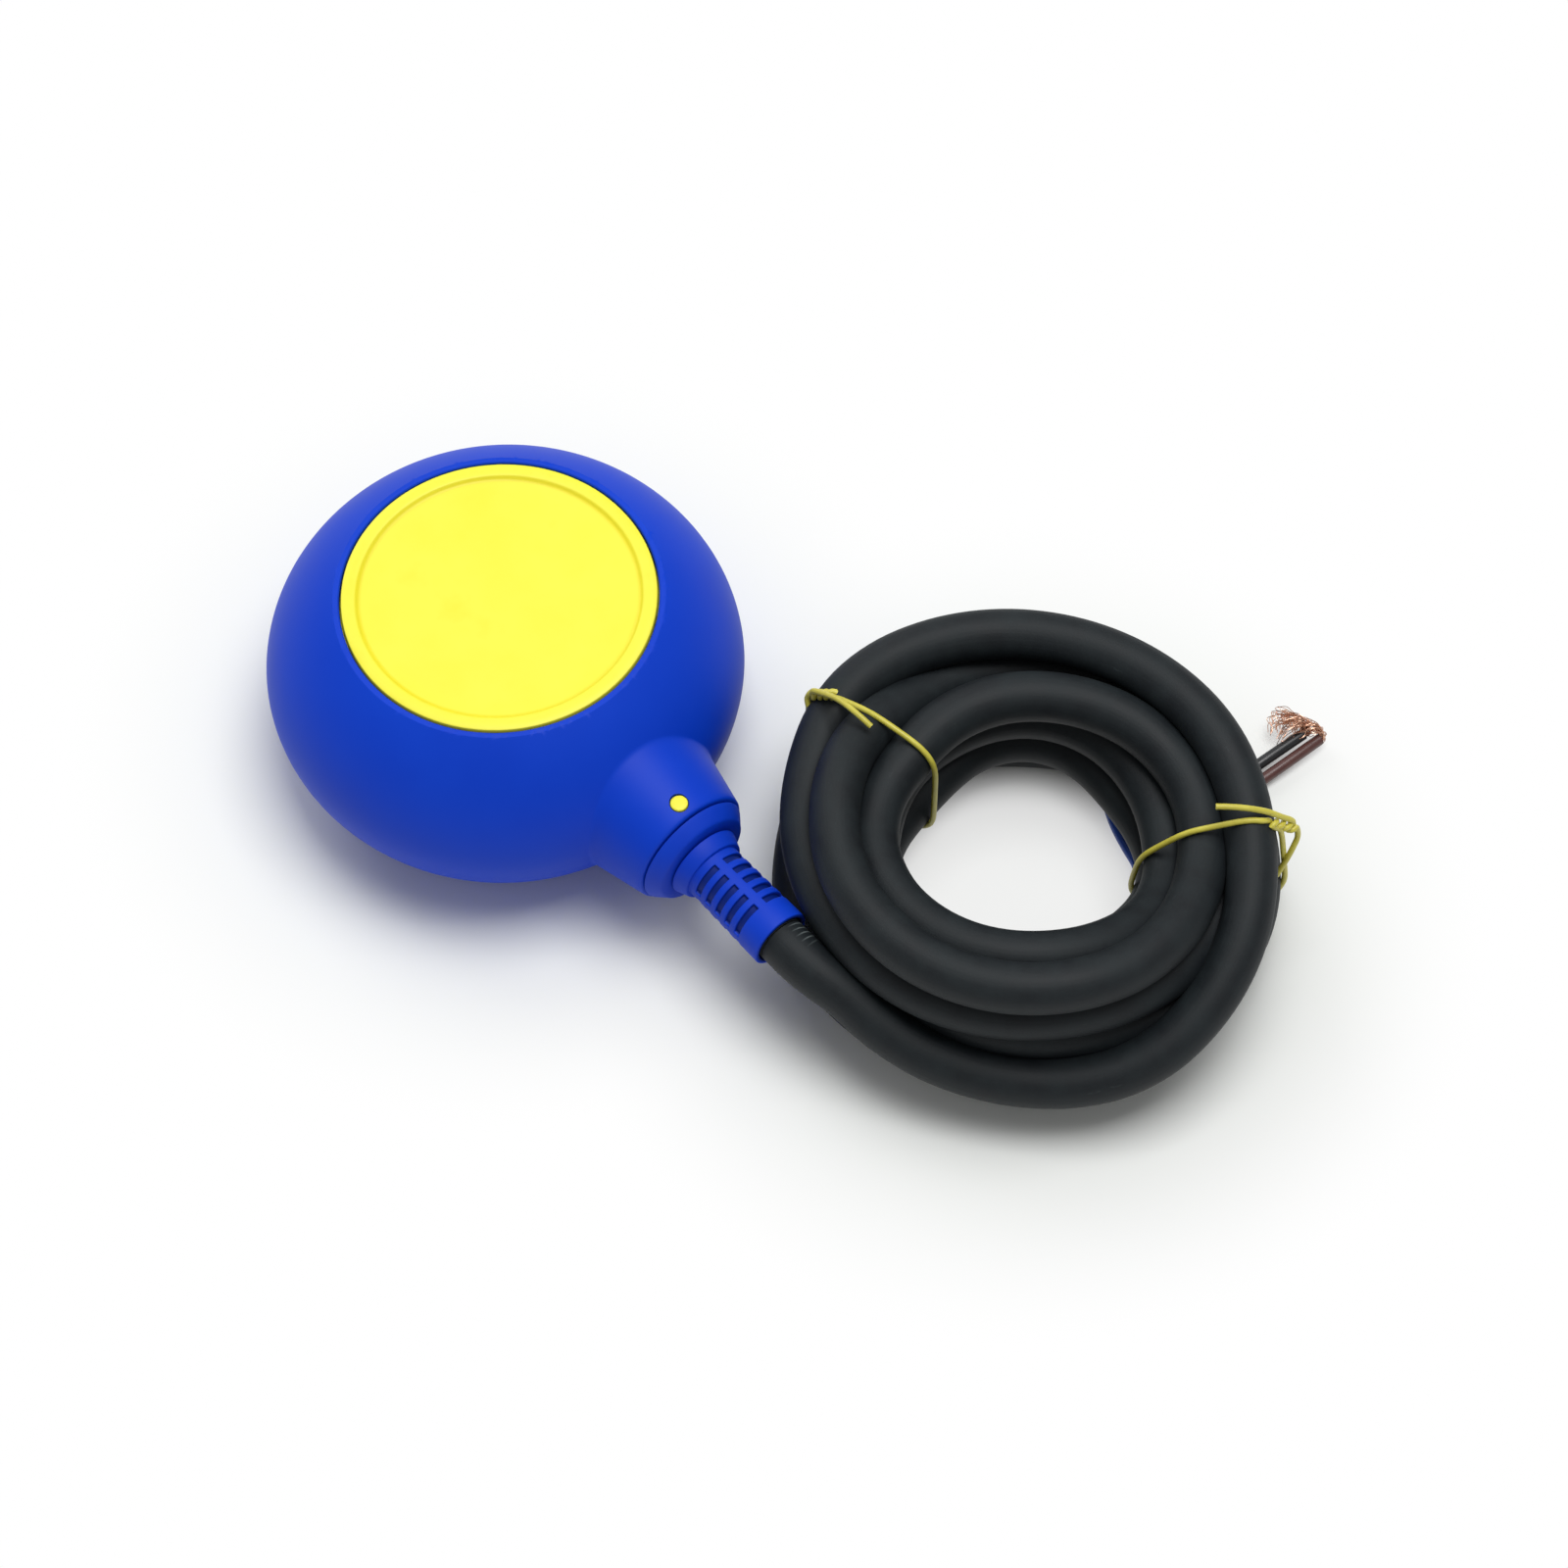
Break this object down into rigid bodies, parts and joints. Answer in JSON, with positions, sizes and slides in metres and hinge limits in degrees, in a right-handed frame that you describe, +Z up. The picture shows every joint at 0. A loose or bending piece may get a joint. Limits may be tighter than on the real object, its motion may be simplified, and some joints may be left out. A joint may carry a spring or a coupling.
{
  "type": "cable float switch",
  "caption": "Round tilting float with a cone neck, slotted strain relief and a coiled three-core rubber cable; a ball and microswitch inside.",
  "frame": {"origin": "on the floor, under the middle of the box round the float, neck and strain relief", "axes": "+X along the neck from the float towards the cable, +Z up through the yellow faces"},
  "size_m": [0.1644, 0.1463, 0.041],
  "materials": {
    "blue_polypropylene": "fine matt moulding",
    "blue_elastomer": "matt flexible moulding",
    "yellow_polypropylene": "satin moulding",
    "black_rubber": "matt, slightly dusty",
    "seal_rubber": "satin",
    "white_nylon": "satin",
    "black_acetal": "satin",
    "black_phenolic": "matt",
    "red_acetal": "smooth",
    "zinc_steel": "zinc plated",
    "polished_steel": "polished",
    "tinned_brass": "tinned",
    "brown_pvc": "smooth",
    "black_pvc": "smooth",
    "blue_pvc": "smooth",
    "copper_strands": "bare stranded copper",
    "yellow_pvc": "plastic-coated tie wire"
  },
  "bodies": {
    "float_body": {"float_casing": "blue_polypropylene", "case_top": "yellow_polypropylene", "case_bottom": "yellow_polypropylene", "gland_collar": "blue_polypropylene", "strain_relief": "blue_elastomer", "cable_seal": "seal_rubber", "thrust_washer": "white_nylon", "cable_jacket_end": "black_rubber", "cable_clamp": "white_nylon", "clamp_screw_1": "zinc_steel", "clamp_screw_2": "zinc_steel", "switch_carrier": "white_nylon", "carrier_screw_1": "zinc_steel", "carrier_screw_2": "zinc_steel", "carrier_screw_3": "zinc_steel", "pivot_pin": "polished_steel", "microswitch_base": "black_phenolic", "microswitch_cover": "black_phenolic", "switch_screw_1": "zinc_steel", "switch_screw_2": "zinc_steel", "terminal_brown": "tinned_brass", "terminal_black": "tinned_brass", "terminal_blue": "tinned_brass", "receptacle_brown": "tinned_brass", "receptacle_black": "tinned_brass", "receptacle_blue": "tinned_brass", "inner_core_brown": "brown_pvc", "inner_core_black": "black_pvc", "inner_core_blue": "blue_pvc", "cable_lead": "black_rubber", "cable_coil": "black_rubber", "coil_tie_left": "yellow_pvc", "coil_tie_right": "yellow_pvc", "core_brown": "brown_pvc", "core_black": "black_pvc", "core_blue": "blue_pvc", "copper_brown": "copper_strands", "copper_black": "copper_strands", "copper_blue": "copper_strands"},
    "ball": {"steel_ball": "polished_steel"},
    "rocker": {"rocker_lever": "black_acetal"},
    "plunger": {"switch_plunger": "red_acetal"}
  },
  "joints": [
    {"name": "ball_roll", "type": "slide", "parent": "float_body", "child": "ball", "axis": [1, 0, 0], "range_m": [0, 0.012]},
    {"name": "rocker_tip", "type": "hinge", "parent": "float_body", "child": "rocker", "pos_m": [-0.0151, 0.009, 0.0095], "axis": [0, 1, 0], "range_deg": [0, 7]},
    {"name": "plunger_press", "type": "slide", "parent": "float_body", "child": "plunger", "axis": [0, 0, -1], "range_m": [0, 0.0007326]}
  ],
  "couplings": [
    {"joint": "rocker_tip", "follows": "ball_roll", "rad_per_m": 10.181},
    {"joint": "plunger_press", "follows": "ball_roll", "ratio": 0.06104}
  ]
}
